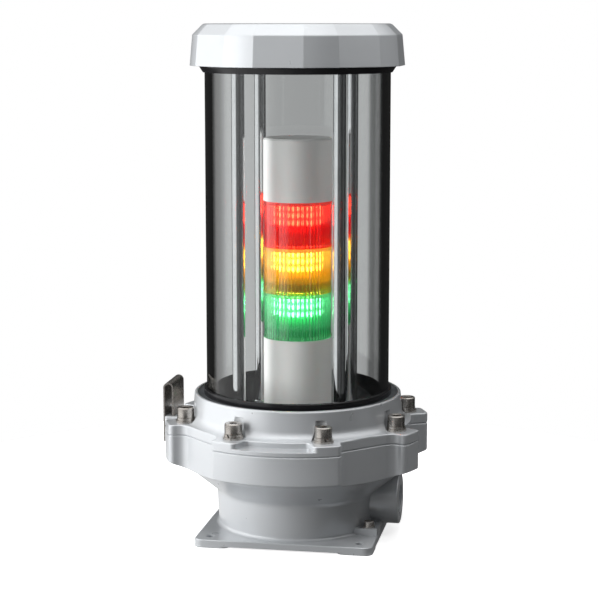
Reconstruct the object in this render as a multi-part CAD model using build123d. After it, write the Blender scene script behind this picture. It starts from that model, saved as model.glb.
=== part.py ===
from build123d import *
import os
from math import atan2, cos, radians, sin

# Flameproof stack light: a cast base with a conduit hub, a bolted cover ring that carries
# a clear glass tube with its cast cap, and a three-colour lamp tower inside.
# Millimetres, +Z up. The origin is the middle of the mounting plane, on the lamp's axis.
# The front of the lamp looks along -Y and the conduit hub points along +X.

# Fits
FIT_GAP = 0.15
EASY_FIT = 0.2
SCREW_GAP = 0.05

# Base plate, which spreads its mounting holes just inside the neck's width
NECK_R_LOW = 70.0
MOUNT_INSET = 5.0
MOUNT_PITCH = 2 * (NECK_R_LOW - MOUNT_INSET)
MOUNT_HOLE = 7.0
MOUNT_MARGIN = 12.5
PLATE_SIDE = MOUNT_PITCH + 2 * MOUNT_MARGIN
PLATE_CORNER = 8.0
FOOT_HEIGHT = 1.5
FOOT_SIDE = 31.0
PLATE_T = 5.5
PLATE_TOP = FOOT_HEIGHT + PLATE_T
PAD_LENGTH = 24.0
PAD_WIDTH = 82.0
PAD_HEIGHT = 6.4
PAD_SETBACK = 0.5

# Glass tube, and the collar of the cover round it
GLASS_R = 80.0
GLASS_WALL = 6.5
GLASS_BORE_R = GLASS_R - GLASS_WALL
BEAD_T = 2.4
BEAD_R = GLASS_R + BEAD_T
POTTING_T = 5.9
COLLAR_BORE_R = BEAD_R + POTTING_T
COLLAR_WALL = 3.7
COLLAR_R_LOW = COLLAR_BORE_R + COLLAR_WALL
COLLAR_TAPER = 1.2
COLLAR_R_TOP = COLLAR_R_LOW - COLLAR_TAPER
COLLAR_FILLET = 8.0

# Flange shared by the base and the cover
CAST_EDGE = 1.2
PARTING_EDGE = 0.8
PARTING_Z = 92.0
FLANGE_T = 9.0
FLANGE_TOP = PARTING_Z + FLANGE_T
LEDGE_T = 4.0
LEDGE_Z = PARTING_Z + LEDGE_T
BOLT_OFFSET = 8.0
BOLT_CIRCLE_R = COLLAR_R_LOW + BOLT_OFFSET
EAR_MARGIN = 17.0
FLANGE_R = BOLT_CIRCLE_R + EAR_MARGIN
NOTCH_MARGIN = 6.0
NOTCH_R = COLLAR_R_LOW + NOTCH_MARGIN
LEDGE_MARGIN = 3.5
LEDGE_INNER_R = NOTCH_R + LEDGE_MARGIN
LEDGE_HALF_ANGLE = 30.0
LEDGE_BLEND = 4.0
DIAGONAL_MARGIN = 2.0
DIAGONAL_REACH = NOTCH_R + DIAGONAL_MARGIN
DIAGONAL_WIDTH = 80.0
EAR_COUNT = 8
EAR_WIDTH = 25.0
EAR_CORNER = 4.5
EAR_BLEND = 10.0
LUG_SETBACK = 1.0
LUG_REACH = FLANGE_R - LUG_SETBACK
LUG_WIDTH = 43.0
LUG_BLEND = 1.5
LUG_CORNER = 2.4

# Cover bolts
BOLT_D = 8.0
BOLT_PLAY = 1.0
BOLT_HEAD_D = 14.6
BOLT_HEAD_H = 9.0
BOLT_SOCKET = 6.0
BOLT_SOCKET_DEPTH = 4.0
BOLT_LENGTH = 28.0
FLAT_WASHER_D = 17.6
FLAT_WASHER_T = 1.8
SPRING_WASHER_D = 15.2
SPRING_WASHER_T = 2.4
SPRING_WASHER_SLIT = 1.4
SPRING_WASHER_TILT = 25.0
HEAD_SEAT_Z = FLANGE_TOP + FLAT_WASHER_T + SPRING_WASHER_T
TAP_ALLOWANCE = 1.8
TAPPED_BOTTOM = HEAD_SEAT_Z - BOLT_LENGTH - TAP_ALLOWANCE
RELIEF_MARGIN = 1.1
BOLT_RELIEF_R = FLAT_WASHER_D / 2 + RELIEF_MARGIN
BOLT_RELIEF_H = 16.0

# Cover collar, web and spigot
COLLAR_RISE = 23.9
COLLAR_TOP = FLANGE_TOP + COLLAR_RISE
WEB_SINK = 2.0
WEB_TOP = FLANGE_TOP - WEB_SINK
WEB_T = 9.0
WEB_UNDERSIDE = WEB_TOP - WEB_T
SPIGOT_SHY = 2.0
SPIGOT_R = GLASS_R - SPIGOT_SHY
SPIGOT_WALL = 7.0
SPIGOT_LENGTH = 16.0
SPIGOT_END = PARTING_Z - SPIGOT_LENGTH
WIRE_HOLE_R = 9.0

# Neck and flare of the base
NECK_TAPER = 1.5
NECK_R_HIGH = NECK_R_LOW + NECK_TAPER
NECK_WALL = 8.0
NECK_INNER_R = NECK_R_LOW - NECK_WALL
NECK_FOOT_FILLET = 3.0
NECK_BLEND = 7.0
FLARE_BLEND = 14.0
RIM_DEPTH = 23.5
RIM_UNDERSIDE_Z = PARTING_Z - RIM_DEPTH
FLARE_EDGE_H = 7.5
FLARE_Z = RIM_UNDERSIDE_Z - FLARE_EDGE_H
FLARE_H = 22.0
TRIM_OVERRUN = 2.0
NECK_TOP = FLARE_Z - FLARE_H
FLOOR_T = 7.0
FLOOR_Z = PLATE_TOP + FLOOR_T
CAVITY_KNEE_RISE = 11.0
CAVITY_KNEE_Z = NECK_TOP + CAVITY_KNEE_RISE
CAVITY_STEP = 4.0
CAVITY_TOP_R = SPIGOT_R - CAVITY_STEP
SPIGOT_RELIEF = 2.0
SPIGOT_SEAT_Z = SPIGOT_END - SPIGOT_RELIEF
CAVITY_BELT = 6.0
FLANGE_LAND_R = SPIGOT_R + FIT_GAP

# Conduit hub
HUB_R = 22.35
HUB_Z = 31.0
HUB_LENGTH = 22.0
HUB_REACH = NECK_R_LOW + HUB_LENGTH
THREAD_MINOR_R = 12.06
THREAD_LENGTH = 20.0
HUB_INNER_R = 10.0
HUB_OVERRUN = 4.0

# Flange seal ring
SEAL_MARGIN = 6.0
ORING_R = SPIGOT_R + SEAL_MARGIN
ORING_WIDTH = 3.0
ORING_HEIGHT = 2.4
ORING_EASE = 0.8

# Height of the glass and its seals
GLASS_SEAT_T = 1.5
GLASS_BOTTOM = WEB_TOP + GLASS_SEAT_T
GLASS_LENGTH = 317.5
GLASS_TOP = GLASS_BOTTOM + GLASS_LENGTH
BEAD_RISE = 4.5
BEAD_TOP = COLLAR_TOP + BEAD_RISE
BEAD_EDGE = 0.8
POTTING_SINK = 1.1
POTTING_TOP = COLLAR_TOP - POTTING_SINK

# Top cap and its gasket
CAP_OVERLAP = 8.9
CAP_BOTTOM = GLASS_TOP - CAP_OVERLAP
CAP_SKIRT_H = 26.1
CAP_SHOULDER = CAP_BOTTOM + CAP_SKIRT_H
CAP_CROWN_H = 9.4
CAP_TOP = CAP_SHOULDER + CAP_CROWN_H
CAP_CROWN_SLOPE = 45.0
TOP_SEAL_T = 4.4
TOP_SEAL_R = GLASS_R + TOP_SEAL_T
TOP_SEAL_ROOT_T = 1.4
TOP_SEAL_ROOT_R = GLASS_R + TOP_SEAL_ROOT_T
TOP_SEAL_DROP = 5.7
TOP_SEAL_LIP_Z = CAP_BOTTOM - TOP_SEAL_DROP
TOP_SEAL_EDGE = 1.2
TOP_SEAL_ROOF = 1.5
CAP_WALL = 8.2
CAP_R = TOP_SEAL_R + CAP_WALL
CAP_FLAT_SHY = 2.4
CAP_FLAT_REACH = CAP_R - CAP_FLAT_SHY
CAP_DRAFT = 5.2
CAP_FLATS = 8
CAP_SHOULDER_ROUND = 2.0
CAP_CROWN_ROUND = 5.0
CAP_ROOF = 8.0
CAP_LAND = 7.5
CAP_POCKET_R = GLASS_BORE_R - CAP_LAND
CAP_BOSS_R = 10.0
CAP_BOSS_DROP = 5.0
CAP_BOSS_END = CAP_BOTTOM - CAP_BOSS_DROP

# Tie rods between the cover and the cap
ROD_D = 10.5
ROD_MARGIN = 13.396
ROD_CIRCLE_R = GLASS_BORE_R - ROD_MARGIN
ROD_OFFSET = ROD_CIRCLE_R * cos(radians(45))
ROD_ENGAGEMENT = 21.0
ROD_TOP = CAP_BOSS_END + ROD_ENGAGEMENT
ROD_CHAMFER = 0.8
ROD_POINTS = [(x, y) for x in (-ROD_OFFSET, ROD_OFFSET) for y in (-ROD_OFFSET, ROD_OFFSET)]
NUT_ACROSS = 16.0
NUT_H = 8.0

# Lamp tower
TOWER_R = 30.0
TOWER_WALL = 2.6
TOWER_BORE_R = TOWER_R - TOWER_WALL
FOOT_T = 5.0
FOOT_SEAT_Z = WEB_TOP + FOOT_T
LOWER_TUBE_LENGTH = 69.7
LENS_START = FOOT_SEAT_Z + LOWER_TUBE_LENGTH
TIER_PITCH = 39.9
LENS_RIM = 0.35
LENS_RIM_H = 2.2
TIER_JOINT = 3.0
JOINT_STEP = 1.2
HEAD_START = LENS_START + 3 * TIER_PITCH
HEAD_LENGTH = 54.1
TOWER_TOP = HEAD_START + HEAD_LENGTH
TOWER_TOP_ROUND = 1.6
TOWER_ROOF = 3.0

# Foot of the lamp tower
FOOT_MARGIN = 4.0
FOOT_R = TOWER_R + FOOT_MARGIN
FOOT_ROUND = 1.5
FOOT_SPIGOT_H = 9.0
FOOT_SPIGOT_WALL = 2.5
FOOT_SCREW_INSET = 9.0
FOOT_SCREW_CIRCLE_R = TOWER_R - FOOT_SCREW_INSET
FOOT_SCREW_COUNT = 3
FOOT_SCREW_ANGLE = 30.0
FOOT_SCREW_BITE = 7.0
FOOT_SCREW_HOLE_DEPTH = FOOT_SCREW_BITE + 1

# Small socket screws
SMALL_SCREW_D = 4.0
SMALL_SCREW_HEAD_D = 7.0
SMALL_SCREW_HEAD_H = 2.8
SMALL_SOCKET = 2.5
SMALL_SOCKET_DEPTH = 1.6

# Centre pole and lamp boards
POLE_R = 4.0
POLE_BORE_R = 2.6
POLE_SEAT_WALL = 3.0
POLE_RISE = 10.0
POLE_TOP = HEAD_START + POLE_RISE
POLE_NUT_ACROSS = 13.0
POLE_NUT_H = 5.0
POLE_PROUD = 2.0
POLE_NUT_Z = POLE_TOP - POLE_PROUD - POLE_NUT_H
BOARD_ACROSS = 24.0
BOARD_WALL = 1.6
BOARD_FLOOR = 2.0
BOARD_CORE_WALL = 2.0
LED_SIDE = 4.6
LED_T = 1.8
LED_TOP_GAP = 6.9
LED_ROW_PITCH = 9.0
LED_ROWS = (TIER_PITCH - LED_TOP_GAP, TIER_PITCH - LED_TOP_GAP - LED_ROW_PITCH)
LED_COLUMNS = 8

# Terminal block in the base
BLOCK_RAISE = 4.0
BLOCK_Z = FLOOR_Z + BLOCK_RAISE
BLOCK_LENGTH = 64.0
BLOCK_DEPTH = 24.0
BLOCK_H = 20.0
BLOCK_TONGUE = 9.0
BLOCK_TONGUE_H = 5.0
BLOCK_SCREW_REACH = BLOCK_LENGTH / 2 + BLOCK_TONGUE / 2
BLOCK_SCREW_BITE = 7.0
BLOCK_POLES = 5
BLOCK_EDGE = 0.8
WELL_MARGIN = 1.5
CLAMP_WELL_D = 6.0
CLAMP_SCREW_D = 4.0
CLAMP_SCREW_H = 7.0
CLAMP_HEAD_H = 2.0
CLAMP_SINK = 2.0
CLAMP_SLOT = 0.8
CABLE_D = 6.0
CABLE_SHIFT = 12.0
CABLE_BEND = 12.0

# Earth screws
EARTH_SCREW_D = 5.0
EARTH_SCREW_HEAD_D = 8.5
EARTH_SCREW_HEAD_H = 4.0
EARTH_SCREW_ROUND = 0.8
EARTH_SLOT = 1.2
EARTH_SLOT_DEPTH = 1.5
EARTH_WASHER_D = 10.0
EARTH_WASHER_T = 1.2
EARTH_DEPTH = 5.5
EARTH_EDGE = 8.5
EARTH_X = PLATE_SIDE / 2 - EARTH_EDGE
EARTH_END = 7.0
EARTH_Y = EARTH_END - PAD_WIDTH / 2
INNER_EARTH_Y = 38.0

# Hook strap over the side lug
STRAP_T = 1.3
STRAP_SPAN = 9.0
STRAP_INSET = 2.0
STRAP_WIDTH = LUG_WIDTH - 2 * STRAP_INSET
STRAP_RISE = 6.0
STRAP_TOP = COLLAR_TOP + STRAP_RISE
STRAP_DROP = 14.0
STRAP_LEG_END = PARTING_Z - STRAP_DROP
STRAP_HOOK_DEPTH = 6.5
STRAP_HOOK_END = FLANGE_TOP - STRAP_HOOK_DEPTH
STRAP_SLOT_GAP = 0.4
STRAP_SLOT_FLOOR = 1.0
STRAP_SCREW_D = 5.0
STRAP_SCREW_DROP = 4.5
STRAP_SCREW_Z = PARTING_Z - STRAP_SCREW_DROP
STRAP_SCREW_HEAD_D = 9.5
STRAP_SCREW_HEAD_H = 3.2
STRAP_SCREW_ROUND = 2.2
STRAP_SCREW_SOCKET = 3.0
STRAP_SCREW_SOCKET_DEPTH = 2.0
STRAP_SCREW_LENGTH = 16.0

EAR_ANGLES = [(i + 0.5) * 360.0 / EAR_COUNT for i in range(EAR_COUNT)]


# Small helpers


def save(name, shape):
    """Write one node's file."""
    shape.label = name
    export_step(shape, os.path.join("parts", name + ".step"))


def disc(radius, low, high):
    """A round bar on the Z axis between two levels."""
    return extrude(Pos(0, 0, low) * Circle(radius), high - low)


def ring(outer, inner, low, high):
    """A plain tube on the Z axis between two levels."""
    return disc(outer, low, high) - disc(inner, low, high)


def turned(points):
    """A solid turned about the Z axis from corners given as radius and height."""
    return revolve(make_face(Plane.XZ * Polyline(*points, close=True)), Axis.Z)


def around(count, radius, shape, start=0.0):
    """Copies of a shape on a circle about the Z axis, each turned to face outward."""
    step = 360.0 / count
    return [Rot(0, 0, start + i * step) * Pos(radius, 0, 0) * shape for i in range(count)]


def fused(first, others):
    """The first shape with all the others joined to it."""
    for other in others:
        first = first + other
    return first


def cut_all(first, others):
    """The first shape with all the others cut from it."""
    for other in others:
        first = first - other
    return first


def hex_bar(across, low, high):
    """A hexagonal bar on the Z axis between two levels."""
    flat = RegularPolygon(across / 2, 6, major_radius=False)
    return extrude(Pos(0, 0, low) * flat, high - low)


def cap_screw(diameter, head_d, head_h, length, socket, socket_depth):
    """A socket-head screw whose head sits on z = 0."""
    head = disc(head_d / 2, 0, head_h)
    head = chamfer(head.edges().group_by(Axis.Z)[-1], head_d * 0.05)
    shank = disc(diameter / 2 - SCREW_GAP, -length, 0)
    return head + shank - hex_bar(socket, head_h - socket_depth, head_h)


def small_screw(length):
    """A small socket-head screw whose head sits on z = 0."""
    head = (SMALL_SCREW_HEAD_D, SMALL_SCREW_HEAD_H)
    return cap_screw(SMALL_SCREW_D, *head, length, SMALL_SOCKET, SMALL_SOCKET_DEPTH)


# Outlines of the bolted flange, drawn from above


def ear_shapes(reach):
    """The eight bolting ears, cut off at a reach from the axis."""
    bar = Pos(reach / 2, 0) * Rectangle(reach, EAR_WIDTH)
    return [(Rot(0, 0, angle) * bar) & Circle(reach) for angle in EAR_ANGLES]


def diagonal_shapes():
    """The straight-sided stretches of the flange between ears on the diagonals."""
    slab = Pos(DIAGONAL_REACH / 2, 0) * Rectangle(DIAGONAL_REACH, DIAGONAL_WIDTH)
    return [Rot(0, 0, 45 + 90 * i) * slab for i in range(4)]


def sector(reach, middle, half):
    """A slice of a disc about one direction, given in degrees from +X."""
    far = 2 * reach
    tip_a = (far * cos(radians(middle - half)), far * sin(radians(middle - half)))
    tip_b = (far * cos(radians(middle + half)), far * sin(radians(middle + half)))
    return make_face(Polyline((0, 0), tip_a, tip_b, close=True)) & Circle(reach)


def corners_at(outline, radius):
    """The outline's corners that lie at a distance from the axis."""
    return [v for v in outline.vertices() if abs(v.center().length - radius) < 0.02]


def soften(outline):
    """Round the ear corners and blend the roots of the ears and the lug into the flange."""
    outline = fillet(corners_at(outline, FLANGE_R), EAR_CORNER)
    root_r = DIAGONAL_REACH / cos(ear_root_angle())
    outline = fillet(corners_at(outline, root_r), EAR_BLEND)
    roots = corners_at(outline, NOTCH_R)
    outline = fillet([v for v in roots if v.X > 0], EAR_BLEND)
    return fillet(lug_roots(outline), LUG_BLEND)


def lug_roots(outline):
    """The corners where the side lug, and the ears beside it, leave the flange."""
    half = LUG_WIDTH / 2
    short_of_end = LUG_REACH - 2 * LUG_CORNER
    sides = [v for v in outline.vertices() if abs(abs(v.Y) - half) < 0.02]
    beside_lug = [v for v in sides if -short_of_end < v.X < -NOTCH_R / 2]
    roots = [v for v in corners_at(outline, NOTCH_R) if v.X < -NOTCH_R / 2]
    return beside_lug + [v for v in roots if abs(v.Y) > half + 0.02]


def ear_root_angle():
    """The angle between a diagonal and the corner where an ear's side meets it."""
    tilt = radians(180.0 / EAR_COUNT)
    along = (DIAGONAL_REACH - EAR_WIDTH / 2 * sin(tilt)) / cos(tilt)
    across = along * sin(tilt) - EAR_WIDTH / 2 * cos(tilt)
    return atan2(across, DIAGONAL_REACH)


def body_outline():
    """The flange at the parting plane: ears, diagonals, filled front and back, side lug."""
    outline = fused(Circle(NOTCH_R), ear_shapes(FLANGE_R) + diagonal_shapes())
    half = 180.0 / EAR_COUNT
    outline = outline + sector(FLANGE_R, -90, half) + sector(FLANGE_R, 90, half)
    return soften(outline + side_lug())


def top_outline():
    """The raised top of the cover flange, which leaves a ledge at the front and back."""
    front = sector(LEDGE_INNER_R, -90, LEDGE_HALF_ANGLE)
    land = Circle(NOTCH_R) + front + sector(LEDGE_INNER_R, 90, LEDGE_HALF_ANGLE)
    outline = fused(land, ear_shapes(FLANGE_R) + diagonal_shapes())
    outline = soften(outline + side_lug())
    return fillet(corners_at(outline, LEDGE_INNER_R), LEDGE_BLEND)


def side_lug():
    """The lug on the left that the hook strap sits over."""
    lug = Pos(-LUG_REACH / 2, 0) * Rectangle(LUG_REACH, LUG_WIDTH)
    corners = [v for v in lug.vertices() if v.center().X < -1]
    return fillet(corners, LUG_CORNER)


# Cast base


def base_shell():
    """Neck and flare, turned and then trimmed to the flange outline."""
    foot = (NECK_R_LOW + NECK_FOOT_FILLET, PLATE_TOP)
    wall = (NECK_R_LOW, PLATE_TOP + NECK_FOOT_FILLET)
    edge = (
        Polyline((0, PLATE_TOP - 1), (foot[0], PLATE_TOP - 1), foot)
        + RadiusArc(foot, wall, NECK_FOOT_FILLET)
        + Polyline(
            wall,
            (NECK_R_HIGH, NECK_TOP),
            (NOTCH_R, FLARE_Z),
            (FLANGE_R + TRIM_OVERRUN, RIM_UNDERSIDE_Z),
            (FLANGE_R + TRIM_OVERRUN, PARTING_Z),
            (0, PARTING_Z),
            (0, PLATE_TOP - 1),
        )
    )
    profile = Plane.XZ * make_face(edge)
    profile = fillet([v for v in profile.vertices() if abs(v.Z - NECK_TOP) < 0.1], NECK_BLEND)
    profile = fillet([v for v in profile.vertices() if abs(v.Z - FLARE_Z) < 0.1], FLARE_BLEND)
    shell = revolve(profile, Axis.Z)
    shell = shell & extrude(body_outline(), PARTING_Z)
    return chamfer(shell.edges().group_by(Axis.Z)[-1], PARTING_EDGE)


def base_plate():
    """Square plate on four corner feet, with its mounting holes."""
    square = RectangleRounded(PLATE_SIDE, PLATE_SIDE, PLATE_CORNER)
    plate = Pos(0, 0, FOOT_HEIGHT) * extrude(square, PLATE_T)
    plate = chamfer(plate.edges().group_by(Axis.Z)[-1], CAST_EDGE / 2)
    reach = (PLATE_SIDE - FOOT_SIDE) / 2
    foot = extrude(RectangleRounded(FOOT_SIDE, FOOT_SIDE, PLATE_CORNER - CAST_EDGE / 2), FOOT_HEIGHT)
    feet = [Pos(x, y, 0) * foot for x in (-reach, reach) for y in (-reach, reach)]
    return fused(plate, feet)


def hub():
    """The conduit hub and the raised pad of the plate under it."""
    root = NECK_R_LOW - NECK_WALL / 2
    barrel = Pos(root, 0, HUB_Z) * Rot(0, 90, 0) * disc(HUB_R, 0, HUB_REACH - root)
    barrel = fillet(barrel.edges().group_by(Axis.X)[-1], CAST_EDGE)
    middle = PLATE_SIDE / 2 - PAD_SETBACK - PAD_LENGTH / 2
    pad = extrude(Pos(middle, 0, PLATE_TOP - 1) * Rectangle(PAD_LENGTH, PAD_WIDTH), PAD_HEIGHT + 1)
    pad = chamfer(pad.edges().group_by(Axis.Z)[-1], CAST_EDGE / 2)
    return barrel + pad


def base_cavity():
    """The wiring space inside the base and the bored seat for the cover's spigot."""
    space = turned(
        [
            (0, FLOOR_Z),
            (NECK_INNER_R, FLOOR_Z),
            (NECK_INNER_R, CAVITY_KNEE_Z),
            (CAVITY_TOP_R, SPIGOT_SEAT_Z - CAVITY_BELT),
            (CAVITY_TOP_R, SPIGOT_SEAT_Z),
            (FLANGE_LAND_R, SPIGOT_SEAT_Z),
            (FLANGE_LAND_R, PARTING_Z),
            (0, PARTING_Z),
        ]
    )
    return space


def conduit_bore():
    """The threaded entry through the hub, narrower where it opens into the base."""
    flat = (Align.CENTER, Align.CENTER, Align.MAX)
    mouth = Pos(HUB_REACH, 0, HUB_Z) * Rot(0, 90, 0)
    thread = mouth * Cylinder(THREAD_MINOR_R, THREAD_LENGTH, align=flat)
    inner = mouth * Cylinder(HUB_INNER_R, HUB_REACH - NECK_INNER_R + HUB_OVERRUN, align=flat)
    return thread + inner


def oring_groove():
    """The groove in the base's joint face for the seal ring."""
    half = ORING_WIDTH / 2
    return ring(ORING_R + half, ORING_R - half, PARTING_Z - ORING_HEIGHT, PARTING_Z)


def block_bosses():
    """Two pads on the cavity floor that carry the terminal block."""
    boss = disc(BLOCK_TONGUE / 2, FLOOR_Z - 1, BLOCK_Z)
    return [Pos(x, 0, 0) * boss for x in (-BLOCK_SCREW_REACH, BLOCK_SCREW_REACH)]


def base_housing():
    """The whole cast base."""
    body = base_shell() + base_plate() + hub()
    body = body - base_cavity() - oring_groove()
    body = fused(body, block_bosses())
    body = body - conduit_bore()
    pitch = MOUNT_PITCH / 2
    mount = disc(MOUNT_HOLE / 2, 0, PLATE_TOP + PAD_HEIGHT)
    body = cut_all(body, [Pos(x, y, 0) * mount for x in (-pitch, pitch) for y in (-pitch, pitch)])
    tapped = disc(BOLT_D / 2, TAPPED_BOTTOM, PARTING_Z)
    body = cut_all(body, around(EAR_COUNT, BOLT_CIRCLE_R, tapped, EAR_ANGLES[0]))
    pilot = disc(SMALL_SCREW_D / 2, BLOCK_Z - BLOCK_SCREW_BITE - 1, BLOCK_Z)
    body = cut_all(body, [Pos(x, 0, 0) * pilot for x in (-BLOCK_SCREW_REACH, BLOCK_SCREW_REACH)])
    earth = disc(EARTH_SCREW_D / 2, -EARTH_DEPTH, 0)
    pad_top = PLATE_TOP + PAD_HEIGHT
    body = body - Pos(EARTH_X, EARTH_Y, pad_top) * earth
    body = body - Pos(0, INNER_EARTH_Y, FLOOR_Z) * earth
    side = Pos(-LUG_REACH, 0, STRAP_SCREW_Z) * Rot(0, 90, 0)
    depth = STRAP_SCREW_LENGTH - STRAP_T
    return body - side * disc(STRAP_SCREW_D / 2, 0, depth)


# Cast cover ring


def collar():
    """The tall collar that holds the glass, with its broad fillet onto the flange."""
    start = (COLLAR_R_LOW + COLLAR_FILLET, FLANGE_TOP)
    end = (COLLAR_R_LOW, FLANGE_TOP + COLLAR_FILLET)
    low = FLANGE_TOP - 1
    lip = CAST_EDGE
    rim = (COLLAR_R_TOP, COLLAR_TOP - lip)
    rim_top = (COLLAR_R_TOP - lip, COLLAR_TOP)
    edge = (
        Polyline((COLLAR_BORE_R, low), (start[0], low), start)
        + RadiusArc(start, end, COLLAR_FILLET)
        + Line(end, rim)
        + RadiusArc(rim, rim_top, -lip)
        + Polyline(rim_top, (COLLAR_BORE_R, COLLAR_TOP), (COLLAR_BORE_R, low))
    )
    return revolve(Plane.XZ * make_face(edge), Axis.Z)


def cover_flange():
    """The bolted cover: flange, collar, inner web and the spigot that enters the base."""
    plate = Pos(0, 0, PARTING_Z) * extrude(body_outline(), LEDGE_T)
    plate = chamfer(plate.edges().group_by(Axis.Z)[0], PARTING_EDGE)
    raised = Pos(0, 0, LEDGE_Z) * extrude(top_outline(), FLANGE_TOP - LEDGE_Z)
    raised = fillet(raised.edges().group_by(Axis.Z)[-1], CAST_EDGE)
    body = plate + raised + collar()
    spigot = disc(SPIGOT_R, SPIGOT_END, PARTING_Z)
    body = body + spigot
    body = body - disc(COLLAR_BORE_R, WEB_TOP, COLLAR_TOP)
    body = body - disc(SPIGOT_R - SPIGOT_WALL, SPIGOT_END, WEB_UNDERSIDE)
    relief = disc(BOLT_RELIEF_R, FLANGE_TOP, FLANGE_TOP + BOLT_RELIEF_H)
    hole = disc((BOLT_D + BOLT_PLAY) / 2, PARTING_Z, FLANGE_TOP)
    body = cut_all(body, around(EAR_COUNT, BOLT_CIRCLE_R, relief + hole, EAR_ANGLES[0]))
    rod_hole = disc(ROD_D / 2, WEB_UNDERSIDE, WEB_TOP)
    body = cut_all(body, [Pos(x, y, 0) * rod_hole for x, y in ROD_POINTS])
    body = body - disc(WIRE_HOLE_R, WEB_UNDERSIDE, WEB_TOP)
    pilot = disc(SMALL_SCREW_D / 2, WEB_TOP - FOOT_SCREW_HOLE_DEPTH, WEB_TOP)
    body = cut_all(body, around(FOOT_SCREW_COUNT, FOOT_SCREW_CIRCLE_R, pilot, FOOT_SCREW_ANGLE))
    slot_x = -LUG_REACH - STRAP_T + STRAP_SPAN - STRAP_T / 2
    slot_depth = STRAP_HOOK_DEPTH + STRAP_SLOT_FLOOR
    slot = Box(STRAP_T + STRAP_SLOT_GAP, STRAP_WIDTH + STRAP_SLOT_GAP, slot_depth)
    return body - Pos(slot_x, 0, FLANGE_TOP - slot_depth / 2) * slot


def flange_seal():
    """The seal ring squeezed in the joint face."""
    return chamfer(oring_groove().edges(), ORING_EASE)


# Cover bolts and washers


def cover_bolt():
    """One cover bolt, at its own place on the +X axis."""
    bolt = cap_screw(BOLT_D, BOLT_HEAD_D, BOLT_HEAD_H, BOLT_LENGTH, BOLT_SOCKET, BOLT_SOCKET_DEPTH)
    return Pos(0, 0, HEAD_SEAT_Z) * bolt


def flat_washer():
    """The flat washer that lies on the ear."""
    return ring(FLAT_WASHER_D / 2, BOLT_D / 2 + EASY_FIT, FLANGE_TOP, FLANGE_TOP + FLAT_WASHER_T)


def spring_washer():
    """The split spring washer under the bolt's head."""
    low = FLANGE_TOP + FLAT_WASHER_T
    washer = ring(SPRING_WASHER_D / 2, BOLT_D / 2 + FIT_GAP, low, HEAD_SEAT_Z)
    slit = Pos(SPRING_WASHER_D / 2, 0, (low + HEAD_SEAT_Z) / 2) * Rot(SPRING_WASHER_TILT, 0, 0)
    return washer - slit * Box(SPRING_WASHER_D, SPRING_WASHER_SLIT, 2 * SPRING_WASHER_D)


def bolt_circle(shape):
    """Eight copies of a fastener on the bolt circle."""
    return Compound(children=around(EAR_COUNT, BOLT_CIRCLE_R, shape, EAR_ANGLES[0]))


# Glass and seals


def glass_tube():
    """The thick clear tube, with its ends ground flat and eased."""
    return ring(GLASS_R, GLASS_BORE_R, GLASS_BOTTOM, GLASS_TOP)


def glass_seat():
    """The thin gasket that the glass stands on."""
    return ring(GLASS_R, GLASS_BORE_R, WEB_TOP, GLASS_BOTTOM)


def glass_bead():
    """The black sealing bead round the foot of the glass."""
    bead = ring(BEAD_R, GLASS_R, WEB_TOP, BEAD_TOP)
    rim = bead.edges().group_by(Axis.Z)[-1].sort_by(SortBy.LENGTH)[-1]
    return fillet(rim, BEAD_EDGE)


def potting_ring():
    """The dark compound that fills the collar outside the bead."""
    return ring(COLLAR_BORE_R, BEAD_R, WEB_TOP, POTTING_TOP)


def cap_gasket():
    """The black gasket between the glass and the cap, with its lip under the cap."""
    return turned(
        [
            (GLASS_R, TOP_SEAL_LIP_Z),
            (TOP_SEAL_ROOT_R, TOP_SEAL_LIP_Z),
            (TOP_SEAL_R, CAP_BOTTOM - TOP_SEAL_EDGE),
            (TOP_SEAL_R, GLASS_TOP + TOP_SEAL_ROOF),
            (GLASS_BORE_R, GLASS_TOP + TOP_SEAL_ROOF),
            (GLASS_BORE_R, GLASS_TOP),
            (GLASS_R, GLASS_TOP),
        ]
    )


# Cap


def cap_outline():
    """The cap from above: a circle cut by eight shallow flats."""
    turn = 180.0 / CAP_FLATS
    flats = RegularPolygon(CAP_FLAT_REACH, CAP_FLATS, major_radius=False, rotation=turn)
    return flats & Circle(CAP_R)


def top_cap():
    """The cast cap: drafted sides, bevelled crown, pocket, glass groove and rod bosses."""
    side = extrude(Pos(0, 0, CAP_BOTTOM) * cap_outline(), CAP_SKIRT_H, taper=CAP_DRAFT)
    crown = extrude(side.faces().sort_by(Axis.Z)[-1], CAP_CROWN_H, taper=CAP_CROWN_SLOPE)
    body = side + crown
    shoulder = body.edges().filter_by(lambda e: abs(e.center().Z - CAP_SHOULDER) < 0.05)
    body = fillet(shoulder, CAP_SHOULDER_ROUND)
    body = fillet(body.edges().group_by(Axis.Z)[-1], CAP_CROWN_ROUND)
    body = body - disc(CAP_POCKET_R, CAP_BOTTOM, CAP_TOP - CAP_ROOF)
    body = body - ring(TOP_SEAL_R, GLASS_BORE_R, CAP_BOTTOM, GLASS_TOP + TOP_SEAL_ROOF)
    boss = disc(CAP_BOSS_R, CAP_BOSS_END, CAP_TOP - CAP_ROOF)
    body = fused(body, [Pos(x, y, 0) * boss for x, y in ROD_POINTS])
    hole = disc(ROD_D / 2, CAP_BOSS_END, ROD_TOP)
    return cut_all(body, [Pos(x, y, 0) * hole for x, y in ROD_POINTS])


# Tie rods


def tie_rod():
    """One rod, threaded into the web below and the cap's boss above."""
    rod = disc(ROD_D / 2, WEB_UNDERSIDE, ROD_TOP)
    return chamfer(rod.edges().group_by(Axis.Z)[0] + rod.edges().group_by(Axis.Z)[-1], ROD_CHAMFER)


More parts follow.
